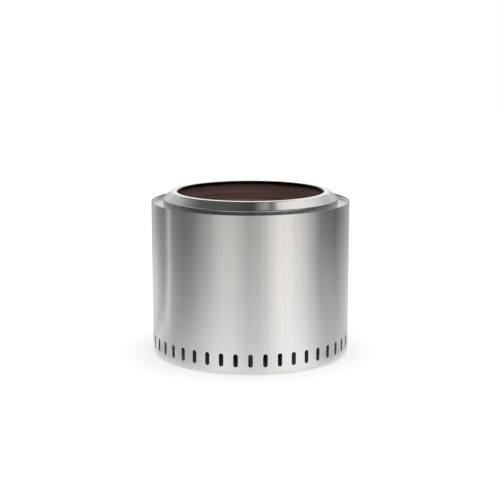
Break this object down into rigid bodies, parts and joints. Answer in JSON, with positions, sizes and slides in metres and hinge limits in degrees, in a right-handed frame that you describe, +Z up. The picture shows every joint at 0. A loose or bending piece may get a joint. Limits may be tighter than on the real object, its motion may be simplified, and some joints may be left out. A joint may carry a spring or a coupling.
{
  "type": "smokeless fire pit",
  "caption": "Round double-walled smokeless fire pit of brushed steel with an air-slotted base, a lift-off flame ring, a lift-out grate and an ash pan.",
  "frame": {"origin": "on the ground at the centre of the drum's base", "axes": "+Z up along the drum's axis; -Y is the front, with an air slot at its middle"},
  "size_m": [0.484, 0.484, 0.3975],
  "materials": {
    "brushed_wall": "fine brushed stainless steel, grain round the drum",
    "shelf_steel": "satin stainless steel",
    "ring_steel": "spun and polished stainless steel",
    "chamber_steel": "stainless steel browned and sooted by the fire",
    "collar_steel": "heat-browned stainless steel",
    "floor_steel": "sooted stainless steel",
    "base_steel": "mill-finish stainless steel",
    "grate_steel": "heat-darkened stainless steel",
    "pan_steel": "heat-stained stainless steel with a dusting of ash",
    "wire_steel": "heat-darkened steel wire",
    "bracket_steel": "pressed steel strip",
    "fasteners": "plain steel rivets, screws and nuts"
  },
  "bodies": {
    "drum": {"outer_wall": "brushed_wall", "top_shelf": "shelf_steel", "chamber_wall": "chamber_steel", "chamber_floor": "floor_steel", "bottom_plate": "base_steel", "support_bracket_1": "bracket_steel", "support_bracket_2": "bracket_steel", "support_bracket_3": "bracket_steel", "support_bracket_4": "bracket_steel", "floor_rivets": "fasteners", "base_screws": "fasteners", "base_nuts": "fasteners"},
    "ring": {"flame_ring": "ring_steel", "ring_collar": "collar_steel"},
    "pan": {"ash_pan": "pan_steel", "pan_ear_left": "bracket_steel", "pan_ear_right": "bracket_steel", "pan_ear_rivets": "fasteners"},
    "pan_bail": {"pan_handle": "wire_steel"},
    "grate": {"fire_grate": "grate_steel", "grate_leg_1": "bracket_steel", "grate_leg_2": "bracket_steel", "grate_leg_3": "bracket_steel", "grate_leg_4": "bracket_steel", "grate_leg_rivets": "fasteners", "grate_ear_left": "bracket_steel", "grate_ear_right": "bracket_steel", "grate_ear_rivets": "fasteners"},
    "grate_bail": {"grate_handle": "wire_steel"}
  },
  "joints": [
    {"name": "flame_ring_lift", "type": "slide", "parent": "drum", "child": "ring", "axis": [0, 0, 1], "range_m": [0, 0.15]},
    {"name": "ash_pan_lift", "type": "slide", "parent": "drum", "child": "pan", "axis": [0, 0, 1], "range_m": [0, 0.42]},
    {"name": "grate_lift", "type": "slide", "parent": "pan", "child": "grate", "axis": [0, 0, 1], "range_m": [0, 0.4]},
    {"name": "grate_handle_turn", "type": "hinge", "parent": "grate", "child": "grate_bail", "pos_m": [0, 0, 0.1055], "axis": [-1, 0, 0], "range_deg": [0, 188]},
    {"name": "pan_handle_turn", "type": "hinge", "parent": "pan", "child": "pan_bail", "pos_m": [0, 0, 0.0375], "axis": [-1, 0, 0], "range_deg": [0, 194]}
  ]
}
